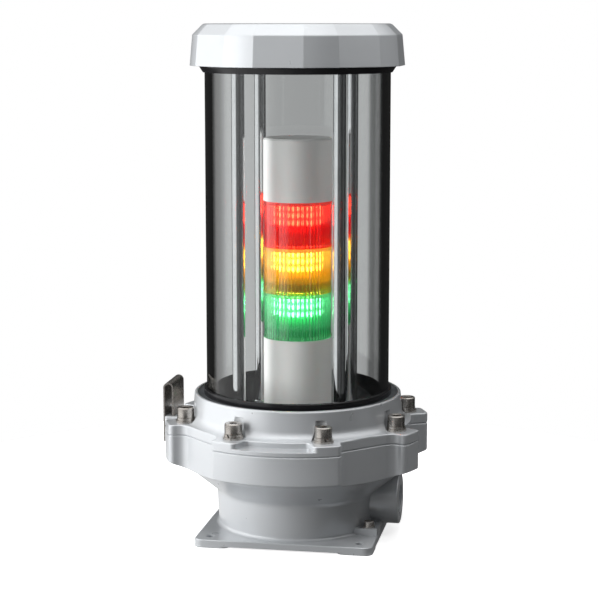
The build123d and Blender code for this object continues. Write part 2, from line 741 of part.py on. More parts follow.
def rod_nuts():
    """The locking nut on each rod, on the web, chamfered on its corners."""
    low = WEB_TOP
    nut = hex_bar(NUT_ACROSS, low, low + NUT_H)
    corner = NUT_ACROSS / 2 / cos(radians(30))
    ease = corner - NUT_ACROSS / 2
    rounding = turned(
        [
            (0, low),
            (NUT_ACROSS / 2, low),
            (corner, low + ease),
            (corner, low + NUT_H - ease),
            (NUT_ACROSS / 2, low + NUT_H),
            (0, low + NUT_H),
        ]
    )
    nut = (nut & rounding) - disc(ROD_D / 2, low, low + NUT_H)
    return Compound(children=[Pos(x, y, 0) * nut for x, y in ROD_POINTS])


# Lamp tower


def tower_foot():
    """The round foot that is screwed to the web and plugs into the tower's tube."""
    top = FOOT_SEAT_Z + FOOT_SPIGOT_H
    plate = disc(FOOT_R, WEB_TOP, FOOT_SEAT_Z)
    plate = fillet(plate.edges().group_by(Axis.Z)[-1], FOOT_ROUND)
    socket = ring(TOWER_BORE_R, TOWER_BORE_R - FOOT_SPIGOT_WALL, FOOT_SEAT_Z, top)
    seat = disc(POLE_R + POLE_SEAT_WALL, WEB_TOP, top)
    foot = plate + socket + seat - disc(POLE_R, FOOT_SEAT_Z, top) - disc(POLE_BORE_R, WEB_TOP, top)
    hole = disc(SMALL_SCREW_D / 2 + EASY_FIT, WEB_TOP, FOOT_SEAT_Z)
    return cut_all(foot, around(FOOT_SCREW_COUNT, FOOT_SCREW_CIRCLE_R, hole, FOOT_SCREW_ANGLE))


def foot_screws():
    """The three screws that hold the foot."""
    screw = Pos(0, 0, FOOT_SEAT_Z) * small_screw(FOOT_T + FOOT_SCREW_BITE)
    return Compound(children=around(FOOT_SCREW_COUNT, FOOT_SCREW_CIRCLE_R, screw, FOOT_SCREW_ANGLE))


def joint_profile(level):
    """Points of the stepped joint between two stacked pieces, at a level."""
    step_r = TOWER_BORE_R + JOINT_STEP
    return [(step_r, level), (step_r, level - TIER_JOINT), (TOWER_BORE_R, level - TIER_JOINT)]


def lower_tube():
    """The white tube that lifts the lenses above the cover."""
    foot = [(TOWER_BORE_R, FOOT_SEAT_Z), (TOWER_R, FOOT_SEAT_Z), (TOWER_R, LENS_START)]
    return turned([*foot, *joint_profile(LENS_START)])


def lens(tier):
    """One coloured lens: a tube with a rim at each end and a skirt that plugs in below."""
    low = LENS_START + tier * TIER_PITCH
    high = low + TIER_PITCH
    wall_r = TOWER_R - LENS_RIM
    return turned(
        [
            (TOWER_BORE_R, low - TIER_JOINT),
            (TOWER_BORE_R + JOINT_STEP, low - TIER_JOINT),
            (TOWER_BORE_R + JOINT_STEP, low),
            (TOWER_R, low),
            (TOWER_R, low + LENS_RIM_H),
            (wall_r, low + LENS_RIM_H + LENS_RIM),
            (wall_r, high - LENS_RIM_H - LENS_RIM),
            (TOWER_R, high - LENS_RIM_H),
            (TOWER_R, high),
            *joint_profile(high),
        ]
    )


def tower_head():
    """The white closed tube on top of the lenses."""
    return turned(
        [
            (TOWER_BORE_R, HEAD_START - TIER_JOINT),
            (TOWER_BORE_R + JOINT_STEP, HEAD_START - TIER_JOINT),
            (TOWER_BORE_R + JOINT_STEP, HEAD_START),
            (TOWER_R, HEAD_START),
            (TOWER_R, TOWER_TOP - TOWER_TOP_ROUND),
            (TOWER_R - TOWER_TOP_ROUND, TOWER_TOP),
            (0, TOWER_TOP),
            (0, TOWER_TOP - TOWER_ROOF),
            (TOWER_BORE_R, TOWER_TOP - TOWER_ROOF),
        ]
    )


def centre_pole():
    """The hollow pole that the lamp boards are threaded on, which carries the wires."""
    return ring(POLE_R, POLE_BORE_R, FOOT_SEAT_Z, POLE_TOP)


def pole_nut():
    """The nut that draws the stack together on the pole."""
    high = POLE_NUT_Z + POLE_NUT_H
    return hex_bar(POLE_NUT_ACROSS, POLE_NUT_Z, high) - disc(POLE_R, POLE_NUT_Z, high)


def lamp_board(tier):
    """One tier's eight-sided lamp board with two rows of lamps."""
    low = LENS_START + tier * TIER_PITCH
    high = low + TIER_PITCH if tier < 2 else POLE_NUT_Z
    reach = BOARD_ACROSS / 2
    turn = 180.0 / LED_COLUMNS
    outer = RegularPolygon(reach, LED_COLUMNS, major_radius=False, rotation=turn)
    inner = RegularPolygon(reach - BOARD_WALL, LED_COLUMNS, major_radius=False, rotation=turn)
    board = Pos(0, 0, low) * extrude(outer - inner, TIER_PITCH)
    core = ring(POLE_R + BOARD_CORE_WALL, POLE_R, low, high)
    floor = Pos(0, 0, low) * extrude(outer, BOARD_FLOOR) - disc(POLE_R, low, low + BOARD_FLOOR)
    board = board + floor + core
    led = Box(LED_T + BOARD_WALL, LED_SIDE, LED_SIDE)
    level = [Pos(0, 0, low + row) * led for row in LED_ROWS]
    place = reach - BOARD_WALL + (LED_T + BOARD_WALL) / 2
    for row in level:
        board = fused(board, around(LED_COLUMNS, place, row))
    return board


# Terminal block and wiring inside the base


def terminal_block():
    """The terminal block: a body with clamp wells and a fixing tongue at each end."""
    body = Pos(0, 0, BLOCK_Z + BLOCK_H / 2) * Box(BLOCK_LENGTH, BLOCK_DEPTH, BLOCK_H)
    body = chamfer(body.edges().group_by(Axis.Z)[-1], BLOCK_EDGE)
    long_side = BLOCK_LENGTH + 2 * BLOCK_TONGUE
    tongue = Box(long_side, BLOCK_TONGUE, BLOCK_TONGUE_H)
    body = body + Pos(0, 0, BLOCK_Z + BLOCK_TONGUE_H / 2) * tongue
    hole = disc(SMALL_SCREW_D / 2 + EASY_FIT, BLOCK_Z, BLOCK_Z + BLOCK_TONGUE_H)
    body = cut_all(body, [Pos(x, 0, 0) * hole for x in (-BLOCK_SCREW_REACH, BLOCK_SCREW_REACH)])
    top = BLOCK_Z + BLOCK_H
    well = disc(CLAMP_WELL_D / 2, top - CLAMP_SINK - CLAMP_SCREW_H, top)
    return cut_all(body, [Pos(x, y, 0) * well for x, y in clamp_points()])


def clamp_points():
    """The places of the clamp screws, two rows along the block."""
    pitch = BLOCK_LENGTH / BLOCK_POLES
    first = -BLOCK_LENGTH / 2 + pitch / 2
    side = BLOCK_DEPTH / 2 - CLAMP_WELL_D / 2 - WELL_MARGIN
    return [(first + i * pitch, y) for i in range(BLOCK_POLES) for y in (-side, side)]


def clamp_screws():
    """The slotted clamp screws in their wells."""
    high = BLOCK_Z + BLOCK_H - CLAMP_SINK
    head = high - CLAMP_HEAD_H
    screw = disc(CLAMP_SCREW_D / 2, high - CLAMP_SCREW_H, head)
    screw = screw + disc(CLAMP_WELL_D / 2 - EASY_FIT, head, high)
    screw = screw - Pos(0, 0, high) * Box(CLAMP_WELL_D, CLAMP_SLOT, CLAMP_HEAD_H)
    return Compound(children=[Pos(x, y, 0) * screw for x, y in clamp_points()])


def block_screws():
    """The two screws that fasten the block to its bosses."""
    screw = Pos(0, 0, BLOCK_Z + BLOCK_TONGUE_H) * small_screw(BLOCK_TONGUE_H + BLOCK_SCREW_BITE)
    return Compound(children=[Pos(x, 0, 0) * screw for x in (-BLOCK_SCREW_REACH, BLOCK_SCREW_REACH)])


def lead_cable():
    """The sheathed lead from the tower's foot down to the terminal block."""
    low = BLOCK_Z + BLOCK_H
    span = WEB_TOP - low
    route = [
        (0, 0, WEB_TOP),
        (0, 0, WEB_TOP - span * 0.3),
        (CABLE_SHIFT, 0, WEB_TOP - span * 0.7),
        (CABLE_SHIFT, 0, low),
    ]
    path = FilletPolyline(*route, radius=CABLE_BEND)
    return sweep(Plane(origin=route[0], z_dir=(0, 0, -1)) * Circle(CABLE_D / 2), path)


# Earth screws


def earth_screw():
    """A cheese-head earth screw whose washer sits on z = 0."""
    top = EARTH_WASHER_T + EARTH_SCREW_HEAD_H
    head = disc(EARTH_SCREW_HEAD_D / 2, EARTH_WASHER_T, top)
    head = fillet(head.edges().group_by(Axis.Z)[-1], EARTH_SCREW_ROUND)
    slot = Pos(0, 0, top) * Box(EARTH_SCREW_HEAD_D, EARTH_SLOT, 2 * EARTH_SLOT_DEPTH)
    return head - slot + disc(EARTH_SCREW_D / 2 - SCREW_GAP, 1 - EARTH_DEPTH, EARTH_WASHER_T)


def earth_washer():
    """The flat washer under an earth screw's head, which clamps the earth wire."""
    return ring(EARTH_WASHER_D / 2, EARTH_SCREW_D / 2 + FIT_GAP, 0, EARTH_WASHER_T)


def earth_places(shape):
    """One copy on the outer pad and one on the cavity floor."""
    outer = Pos(EARTH_X, EARTH_Y, PLATE_TOP + PAD_HEIGHT) * shape
    inner = Pos(0, INNER_EARTH_Y, FLOOR_Z) * shape
    return Compound(children=[outer, inner])


# Hook strap


def hook_strap():
    """The bent strap: screwed to the base's lug, over it, and down into the cover's slot."""
    left = -LUG_REACH - STRAP_T
    right = left + STRAP_SPAN
    outer_r = STRAP_SPAN / 2
    inner_r = outer_r - STRAP_T
    bend_z = STRAP_TOP - outer_r
    middle = left + outer_r
    section = Pos(middle, bend_z) * Circle(outer_r)
    section = section + Pos(middle, bend_z - outer_r) * Rectangle(2 * outer_r, 2 * outer_r)
    section = section - Pos(middle, bend_z) * Circle(inner_r)
    section = section - Pos(middle, bend_z - outer_r) * Rectangle(2 * inner_r, 2 * outer_r)
    end_z = bend_z - 2 * outer_r
    leg = Pos(left + STRAP_T / 2, (STRAP_LEG_END + end_z) / 2) * Rectangle(STRAP_T, end_z - STRAP_LEG_END)
    hook = Pos(right - STRAP_T / 2, (STRAP_HOOK_END + end_z) / 2) * Rectangle(STRAP_T, end_z - STRAP_HOOK_END)
    strap = Pos(0, STRAP_WIDTH / 2, 0) * extrude(Plane.XZ * (section + leg + hook), STRAP_WIDTH)
    side = Pos(left, 0, STRAP_SCREW_Z) * Rot(0, 90, 0)
    return strap - side * disc(STRAP_SCREW_D / 2 + EASY_FIT, 0, STRAP_T)


def strap_screw():
    """The socket button-head screw that holds the strap."""
    head = disc(STRAP_SCREW_HEAD_D / 2, 0, STRAP_SCREW_HEAD_H)
    head = fillet(head.edges().group_by(Axis.Z)[-1], STRAP_SCREW_ROUND)
    socket_floor = STRAP_SCREW_HEAD_H - STRAP_SCREW_SOCKET_DEPTH
    head = head - hex_bar(STRAP_SCREW_SOCKET, socket_floor, STRAP_SCREW_HEAD_H)
    shank = disc(STRAP_SCREW_D / 2 - SCREW_GAP, 1 - STRAP_SCREW_LENGTH, 0)
    return Pos(-LUG_REACH - STRAP_T, 0, STRAP_SCREW_Z) * Rot(0, -90, 0) * (head + shank)


os.makedirs("parts", exist_ok=True)

save("base_housing", base_housing())
save("cover_flange", cover_flange())
save("flange_seal", flange_seal())
save("cover_bolts", bolt_circle(cover_bolt()))
save("flat_washers", bolt_circle(flat_washer()))
save("spring_washers", bolt_circle(spring_washer()))
save("glass_tube", glass_tube())
save("glass_seat", glass_seat())
save("glass_bead", glass_bead())
save("potting_ring", potting_ring())
save("cap_gasket", cap_gasket())
save("top_cap", top_cap())
for index, (rod_x, rod_y) in enumerate(ROD_POINTS, 1):
    save(f"tie_rod_{index}", Pos(rod_x, rod_y, 0) * tie_rod())
save("rod_nuts", rod_nuts())
save("tower_foot", tower_foot())
save("foot_screws", foot_screws())
save("tower_lower_tube", lower_tube())
for tier_index, colour in enumerate(("green", "yellow", "red")):
    save(f"lens_{colour}", lens(tier_index))
    save(f"lamp_board_{colour}", lamp_board(tier_index))
save("tower_head", tower_head())
save("centre_pole", centre_pole())
save("pole_nut", pole_nut())
save("terminal_block", terminal_block())
save("clamp_screws", clamp_screws())
save("block_screws", block_screws())
save("lead_cable", lead_cable())
save("earth_screws", earth_places(earth_screw()))
save("earth_washers", earth_places(earth_washer()))
save("hook_strap", hook_strap())
save("strap_screw", strap_screw())
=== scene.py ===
import math

import bmesh
import bpy
from mathutils import Matrix, Vector


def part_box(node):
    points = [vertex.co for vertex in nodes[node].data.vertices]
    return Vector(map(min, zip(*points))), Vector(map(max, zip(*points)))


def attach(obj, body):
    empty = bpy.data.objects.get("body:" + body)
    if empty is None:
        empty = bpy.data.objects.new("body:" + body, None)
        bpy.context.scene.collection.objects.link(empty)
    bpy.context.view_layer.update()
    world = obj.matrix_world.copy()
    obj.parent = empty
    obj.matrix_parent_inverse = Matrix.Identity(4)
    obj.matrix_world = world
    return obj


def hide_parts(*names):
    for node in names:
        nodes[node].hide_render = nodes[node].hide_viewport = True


# Looks of a flameproof stack light, in metres, in the same frame as its solids.

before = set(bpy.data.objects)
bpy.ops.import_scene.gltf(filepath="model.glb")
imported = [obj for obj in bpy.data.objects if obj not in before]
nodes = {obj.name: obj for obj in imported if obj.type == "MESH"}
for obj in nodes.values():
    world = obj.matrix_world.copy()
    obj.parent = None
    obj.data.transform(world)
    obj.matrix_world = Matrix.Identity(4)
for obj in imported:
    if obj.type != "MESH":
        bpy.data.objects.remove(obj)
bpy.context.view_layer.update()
MM = 0.001
BODY = "root"

# Camera, with angles in degrees and the lens and its frame in millimetres
CAMERA_AZIMUTH = 10.2
CAMERA_PITCH = 8.9
CAMERA_DISTANCE = 1.56
CAMERA_LENS = 107.2
CAMERA_FRAME = 36
TARGET_RIGHT = 0.0011
TARGET_HEIGHT = 0.2060

# Cover bolts
BOLT_COUNT = 8
BOLT_CIRCLE_R = 100 * MM
BOLT_HEAD_R = 7.3 * MM
BOLT_HEAD_H = 9 * MM
BOLT_SOCKET_R = 3.46 * MM
BOLT_SOCKET_DEPTH = 4 * MM
SOCKET_EASE_R = 0.5 * MM
SOCKET_EASE_H = 0.3 * MM
HEAD_FOOT_EASE = 0.35 * MM
HEAD_FOOT_H = 0.4 * MM
HEAD_RIM_EASE = 0.7 * MM
HEAD_RIM_H = 0.8 * MM
KNURL_FOOT = 1.2 * MM
KNURL_TOP = 1.5 * MM
KNURL_DEPTH = 0.22 * MM
KNURL_TEETH = 44
SHANK_R = 3.95 * MM
SHANK_LAP = 0.001 * MM
SHANK_STEPS = 24

# Lens tiers
TOWER_R = 30 * MM
TIER_JOINT = 3 * MM
JOINT_STEP = 1.2 * MM
LENS_WALL = 2.6 * MM
LENS_RIBS = 60
LENS_RIB_DEPTH = 0.7 * MM
LENS_RIB_STEPS = 6
LENS_INNER_FOOT = 1 * MM
RIM_EASE = 0.2 * MM
RIM_H = 2.2 * MM
RIM_SLOPE_H = 0.3 * MM
RIM_PROUD = 0.35 * MM

# Lamps on the boards, in rows over the tier's foot
LED_ROWS = (33.5 * MM, 27.5 * MM, 21 * MM)
LED_COLUMNS = 8
LED_R = 2.4 * MM
LED_REACH = 13.9 * MM
LED_FLATNESS = 0.5
LED_SEGMENTS = 16
LED_RINGS = 8

# Angles between faces, in degrees, over which an edge stays sharp
SOLID_CREASE = 30
BOLT_CREASE = 32
LENS_CREASE = 40
LED_CREASE = 60

# Colours of the tiers: glow and board brighten from the tier's foot to its top, as painted light and
# painted shade
GLOW_STRENGTH = 0.42
BOARD_STRENGTH = 0.75
BOARD_RISE = (0.26, 0.4)
GLOW_STOPS = (0.2, 0.3, 0.48, 0.6)
TIERS = {
    "green": {
        "lens": (0.2, 0.8, 0.45),
        "glow_foot": (0.0, 0.03, 0.01),
        "glow_middle": (0.03, 0.2, 0.07),
        "glow_top": (0.09, 0.32, 0.15),
        "board": (0.04, 0.8, 0.25),
        "board_foot_level": 0.25,
        "lamp": (0.9, 1.0, 0.75),
        "lamp_strength": 11.0,
    },
    "yellow": {
        "lens": (0.95, 0.6, 0.06),
        "glow_foot": (0.02, 0.02, 0.0),
        "glow_middle": (0.38, 0.2, 0.0),
        "glow_top": (0.42, 0.34, 0.06),
        "board": (1.0, 0.55, 0.05),
        "board_foot_level": 0.03,
        "lamp": (1.0, 0.75, 0.7),
        "lamp_strength": 16.0,
    },
    "red": {
        "lens": (0.8, 0.05, 0.03),
        "glow_foot": (0.28, 0.0, 0.004),
        "glow_middle": (0.28, 0.0, 0.004),
        "glow_top": (0.42, 0.07, 0.06),
        "board": (1.0, 0.08, 0.07),
        "board_foot_level": 0.6,
        "lamp": (1.0, 0.5, 0.3),
        "lamp_strength": 42.0,
    },
}

# Brightness round the studio: each stop is degrees right of straight behind the lamp, and a level
BACKDROP = (
    (-178, 0.38),
    (-80, 0.38),
    (-64, 0.004),
    (-24, 0.01),
    (-19, 0.2),
    (-13, 0.26),
    (-9, 0.5),
    (-4, 0.5),
    (-1, 0.4),
    (2, 0.39),
    (6, 0.45),
    (8.5, 0.42),
    (9.5, 0.15),
    (12.5, 0.15),
    (14, 0.23),
    (18, 0.2),
    (22, 0.01),
    (64, 0.004),
    (80, 0.38),
    (178, 0.38),
)
MIRRORED = (
    (-178, 0.1),
    (-152, 0.12),
    (-140, 0.9),
    (-120, 1.0),
    (-58, 1.0),
    (-48, 0.05),
    (0, 0.03),
    (60, 0.03),
    (95, 0.03),
    (100, 0.15),
    (108, 0.15),
    (113, 0.04),
    (150, 0.04),
    (175, 0.08),
)
MIRRORED_STRENGTH = 1.05
FLOOR_MIRRORED = (
    (-178, 0.25),
    (-120, 0.7),
    (-60, 0.8),
    (-10, 0.12),
    (40, 0.08),
    (120, 0.07),
    (175, 0.25),
)
SOFT = (
    (-180, 0.3),
    (-90, 1.0),
    (0, 0.4),
    (90, 0.12),
    (180, 0.3),
)
AMBIENT = 0.25
CEILING = 1.3
CEILING_RISE = (0.35, 0.9)
GLASS_EDGE = 0.006
GLASS_EDGE_DEPTH = 2.5

# Floor
FLOOR_R = 0.45
FLOOR_STEPS = 96
FLOOR_LIFT = 0.72
FLOOR_GREY = (0.15, 0.15, 0.15, 1)
FLOOR_PALE = (0.8, 0.8, 0.8, 1)

# Softboxes: degrees right of the front, height, distance, size, watts and the height aimed at
SOFTBOXES = {
    "key": (-85, 0.4, 1.6, (0.9, 1.5), 12, 0.25),
    "top": (-10, 2.0, 0.35, (1.3, 1.3), 32, 0.25),
    "front": (-60, 0.4, 1.6, (0.9, 1.2), 38, 0.25),
    "fill": (75, 0.62, 0.45, (0.2, 0.3), 0.9, 0.42),
    "rim": (120, 0.9, 1.6, (1.0, 1.0), 5, 0.25),
}


# Node tree helpers


def new_material(name):
    """A new material with its tree and its Principled shader."""
    material = bpy.data.materials.new(name)
    material.use_nodes = True
    tree = material.node_tree
    shader = tree.nodes["Principled BSDF"]
    return material, tree, shader


def add(tree, kind, **values):
    """A new shader node with its plain settings."""
    node = tree.nodes.new(kind)
    for key, value in values.items():
        setattr(node, key, value)
    return node


def place(tree):
    """The object's own coordinates, in metres."""
    return add(tree, "ShaderNodeTexCoord").outputs["Object"]


def noise(tree, scale, detail=3.0, roughness=0.55, stretch=None):
    """A noise value over the object, its scale in cells a metre."""
    source = place(tree)
    if stretch:
        mapping = add(tree, "ShaderNodeMapping")
        mapping.inputs["Scale"].default_value = stretch
        tree.links.new(source, mapping.inputs["Vector"])
        source = mapping.outputs["Vector"]
    node = add(tree, "ShaderNodeTexNoise")
    node.inputs["Scale"].default_value = scale
    node.inputs["Detail"].default_value = detail
    node.inputs["Roughness"].default_value = roughness
    tree.links.new(source, node.inputs["Vector"])
    return node.outputs["Fac"]


def ramp(tree, source, stops):
    """A colour ramp through several colours, each at its place from 0 to 1."""
    node = add(tree, "ShaderNodeValToRGB")
    line = node.color_ramp
    for position, _ in stops[2:]:
        line.elements.new(position)
    for element, (position, _) in zip(line.elements, stops):
        element.position = position
    for element, (_, colour) in zip(line.elements, stops):
        element.color = (*colour, 1)
    tree.links.new(source, node.inputs["Fac"])
    return node.outputs["Color"]


def mottle(tree, shader, source, low, high):
    """Let the base colour wander between two colours with a noise."""
    colour = ramp(tree, source, ((0.3, low), (0.7, high)))
    tree.links.new(colour, shader.inputs["Base Color"])


def height_share(tree, foot, top):
    """How far up a tier the surface is, from 0 to 1."""
    height = add(tree, "ShaderNodeSeparateXYZ")
    tree.links.new(place(tree), height.inputs["Vector"])
    share = add(tree, "ShaderNodeMapRange")
    share.inputs["From Min"].default_value = foot
    share.inputs["From Max"].default_value = top
    tree.links.new(height.outputs["Z"], share.inputs["Value"])
    return share.outputs["Result"]


def rough(tree, shader, source, low, high):
    """Let the roughness wander between two values with a noise."""
    node = add(tree, "ShaderNodeMapRange")
    node.inputs["To Min"].default_value = low
    node.inputs["To Max"].default_value = high
    tree.links.new(source, node.inputs["Value"])
    tree.links.new(node.outputs["Result"], shader.inputs["Roughness"])


def bump(tree, shader, height, distance, strength=1.0):
    """A bump on the shader, stacked on the normal that is there."""
    node = add(tree, "ShaderNodeBump")
    node.inputs["Strength"].default_value = strength
    node.inputs["Distance"].default_value = distance
    tree.links.new(height, node.inputs["Height"])
    if shader.inputs["Normal"].is_linked:
        tree.links.new(shader.inputs["Normal"].links[0].from_socket, node.inputs["Normal"])
    tree.links.new(node.outputs["Normal"], shader.inputs["Normal"])


def tint(rgb, factor):
    """A colour made lighter or darker."""
    return tuple(min(1.0, channel * factor) for channel in rgb)


# Materials


def cast_paint():
    """Satin silver-grey paint over fine cast metal, with its edges eased."""
    material, tree, shader = new_material("cast_paint")
    colour = (0.56, 0.58, 0.6)
    mottle(tree, shader, noise(tree, 22, 4), tint(colour, 0.98), tint(colour, 1.02))
    rough(tree, shader, noise(tree, 60, 3), 0.26, 0.31)
    shader.inputs["Metallic"].default_value = 0.4
    shader.inputs["Coat Weight"].default_value = 0.5
    shader.inputs["Coat Roughness"].default_value = 0.12
    rounded = add(tree, "ShaderNodeBevel", samples=6)
    rounded.inputs["Radius"].default_value = 0.9 * MM
    tree.links.new(rounded.outputs["Normal"], shader.inputs["Normal"])
    tree.links.new(rounded.outputs["Normal"], shader.inputs["Coat Normal"])
    bump(tree, shader, noise(tree, 260, 2), 0.02 * MM)
    return material


def turned_metal(name, colour, low_rough, high_rough):
    """Turned metal with fine marks round it."""
    material, tree, shader = new_material(name)
    mottle(tree, shader, noise(tree, 300, 3), tint(colour, 0.9), tint(colour, 1.08))
    shader.inputs["Metallic"].default_value = 1.0
    rough(tree, shader, noise(tree, 900, 3), low_rough, high_rough)
    bump(tree, shader, noise(tree, 1400, 2, stretch=(1, 1, 6)), 0.02 * MM)
    return material


def polished_steel():
    """Drawn and polished rod, with faint marks round it."""
    material, tree, shader = new_material("polished_steel")
    colour = (0.72, 0.73, 0.74)
    mottle(tree, shader, noise(tree, 80, 2), tint(colour, 0.96), tint(colour, 1.04))
    shader.inputs["Metallic"].default_value = 1.0
    rough(tree, shader, noise(tree, 500, 2, stretch=(0.2, 0.2, 4)), 0.05, 0.12)
    bump(tree, shader, noise(tree, 700, 2, stretch=(0.2, 0.2, 5)), 0.01 * MM)
    return material


def clear_glass():
    """Thick clear glass, which lets the studio's light pass."""
    material, tree, shader = new_material("clear_glass")
    shader.inputs["Base Color"].default_value = (0.955, 0.97, 0.97, 1)
    shader.inputs["Roughness"].default_value = 0.0
    shader.inputs["IOR"].default_value = 1.47
    shader.inputs["Transmission Weight"].default_value = 1.0
    bump(tree, shader, noise(tree, 9, 1, stretch=(1, 1, 0.25)), 0.2 * MM, 0.4)
    let_light_through(tree, shader, (0.93, 0.94, 0.94))
    return material


def let_light_through(tree, shader, colour):
    """Shadow rays pass the glass, tinted, so that what is inside is lit."""
    clear = add(tree, "ShaderNodeBsdfTransparent")
    clear.inputs["Color"].default_value = (*colour, 1)
    path = add(tree, "ShaderNodeLightPath")
    mix = add(tree, "ShaderNodeMixShader")
    tree.links.new(path.outputs["Is Shadow Ray"], mix.inputs[0])
    tree.links.new(shader.outputs["BSDF"], mix.inputs[1])
    tree.links.new(clear.outputs["BSDF"], mix.inputs[2])
    output = tree.nodes["Material Output"]
    tree.links.new(mix.outputs["Shader"], output.inputs["Surface"])


def black_rubber():
    """Moulded black seal with a faint bloom."""
    material, tree, shader = new_material("seal_rubber")
    mottle(tree, shader, noise(tree, 120, 3), (0.003, 0.003, 0.004), (0.008, 0.008, 0.009))
    rough(tree, shader, noise(tree, 200, 2), 0.2, 0.3)
    bump(tree, shader, noise(tree, 600, 2), 0.04 * MM)
    return material


def potting_compound():
    """Dark grey compound poured level in the collar."""
    material, tree, shader = new_material("potting")
    mottle(tree, shader, noise(tree, 90, 4), (0.035, 0.04, 0.045), (0.075, 0.08, 0.085))
    rough(tree, shader, noise(tree, 150, 2), 0.25, 0.4)
    bump(tree, shader, noise(tree, 160, 3), 0.3 * MM, 0.6)
    return material


def white_plastic():
    """Satin white moulded plastic, slightly translucent."""
    material, tree, shader = new_material("white_plastic")
    colour = (0.87, 0.86, 0.845)
    mottle(tree, shader, noise(tree, 40, 3), tint(colour, 0.985), tint(colour, 1.015))
    rough(tree, shader, noise(tree, 300, 2), 0.3, 0.38)
    shader.inputs["Subsurface Weight"].default_value = 0.3
    shader.inputs["Subsurface Radius"].default_value = (4 * MM, 4 * MM, 4 * MM)
    bump(tree, shader, noise(tree, 900, 2), 0.02 * MM)
    return material


def dark_plastic():
    """Black moulded terminal plastic."""
    material, tree, shader = new_material("dark_plastic")
    mottle(tree, shader, noise(tree, 150, 3), (0.02, 0.02, 0.021), (0.035, 0.035, 0.036))
    shader.inputs["Roughness"].default_value = 0.5
    bump(tree, shader, noise(tree, 900, 2), 0.04 * MM)
    return material


def cable_sheath():
    """Grey cable sheath."""
    material, tree, shader = new_material("cable_sheath")
    mottle(tree, shader, noise(tree, 200, 3), (0.1, 0.1, 0.11), (0.14, 0.14, 0.15))
    shader.inputs["Roughness"].default_value = 0.45
    bump(tree, shader, noise(tree, 500, 2), 0.03 * MM)
    return material


def lens_material(name, tier, foot, top):
    """Clear coloured lens plastic, glowing at the foot, middle and top from the light it traps."""
    material, tree, shader = new_material(name)
    shader.inputs["Base Color"].default_value = (*tier["lens"], 1)
    shader.inputs["Roughness"].default_value = 0.2
    shader.inputs["IOR"].default_value = 1.45
    shader.inputs["Transmission Weight"].default_value = 0.93
    shader.inputs["Coat Weight"].default_value = 1.0
    shader.inputs["Coat IOR"].default_value = 1.65
    shader.inputs["Coat Roughness"].default_value = 0.06
    glows = (tier["glow_foot"], tier["glow_middle"], tier["glow_middle"], tier["glow_top"])
    lit = ramp(tree, height_share(tree, foot, top), tuple(zip(GLOW_STOPS, glows)))
    tree.links.new(lit, shader.inputs["Emission Color"])
    shader.inputs["Emission Strength"].default_value = GLOW_STRENGTH
    bump(tree, shader, noise(tree, 260, 2, stretch=(1, 1, 0.15)), 0.1 * MM, 0.5)
    let_light_through(tree, shader, tint(tier["lens"], 0.9))
    return material


def board_material(name, tier, foot, top):
    """Lamp board, lit by its own lamps, which sit in its upper part."""
    material, tree, shader = new_material(name)
    colour = tier["board"]
    low, high = BOARD_RISE
    share = height_share(tree, foot, top)
    shader.inputs["Roughness"].default_value = 0.5
    lit = ramp(tree, share, ((low, tint(colour, tier["board_foot_level"])), (high, colour)))
    tree.links.new(lit, shader.inputs["Emission Color"])
    # The board's base colour is painted shade: dark at the foot below the lamps, lighter up where the
    # lamps sit
    painted_shade_colour = ramp(tree, share, ((low, tint(colour, 0.1)), (high, tint(colour, 0.8))))
    tree.links.new(painted_shade_colour, shader.inputs["Base Color"])
    shader.inputs["Emission Strength"].default_value = BOARD_STRENGTH
    return material


def lamp_material(name, tier):
    """A lit lamp's face."""
    material, tree, shader = new_material(name)
    shader.inputs["Base Color"].default_value = (*tier["lamp"], 1)
    shader.inputs["Emission Color"].default_value = (*tier["lamp"], 1)
    shader.inputs["Emission Strength"].default_value = tier["lamp_strength"]
    bump(tree, shader, noise(tree, 800, 1), 0.02 * MM)
    return material


# Mesh helpers


def mesh_object(name, build, material):
    """A new piece from a bmesh, with its material and slot."""
    mesh = bpy.data.meshes.new(name)
    build.to_mesh(mesh)
    build.free()
    piece = bpy.data.objects.new(name, mesh)
    bpy.context.collection.objects.link(piece)
    mesh.materials.append(material)
    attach(piece, BODY)
    return piece


def smooth(piece, angle):
    """Smooth shading, with creases kept where faces meet at more than an angle."""
    mesh = piece.data
    mesh.polygons.foreach_set("use_smooth", [True] * len(mesh.polygons))
    mesh.set_sharp_from_angle(angle=math.radians(angle))


def turned(radius, angle, height):
    """The point at a radius, an angle and a height about the Z axis."""
    return Vector((radius * math.cos(angle), radius * math.sin(angle), height))


def bridge(build, low_ring, high_ring):
    """Faces between two closed rings of as many points."""
    for step in range(len(low_ring)):
        after = (step + 1) % len(low_ring)
        build.faces.new((low_ring[step], low_ring[after], high_ring[after], high_ring[step]))


def lathe(name, profile, steps, material, wave):
    """A closed ring turned about the Z axis. The wave shapes its radius by angle and point."""
    build = bmesh.new()
    rings = []
    for step in range(steps):
        turn = 2 * math.pi * step / steps
        ring = []
        for index, (radius, height) in enumerate(profile):
            ring.append(build.verts.new(turned(radius + wave(turn, index), turn, height)))
        rings.append(ring)
    for step in range(steps):
        bridge(build, rings[step], rings[(step + 1) % steps])
    bmesh.ops.recalc_face_normals(build, faces=build.faces)
    return mesh_object(name, build, material)


# Finishes of the solids


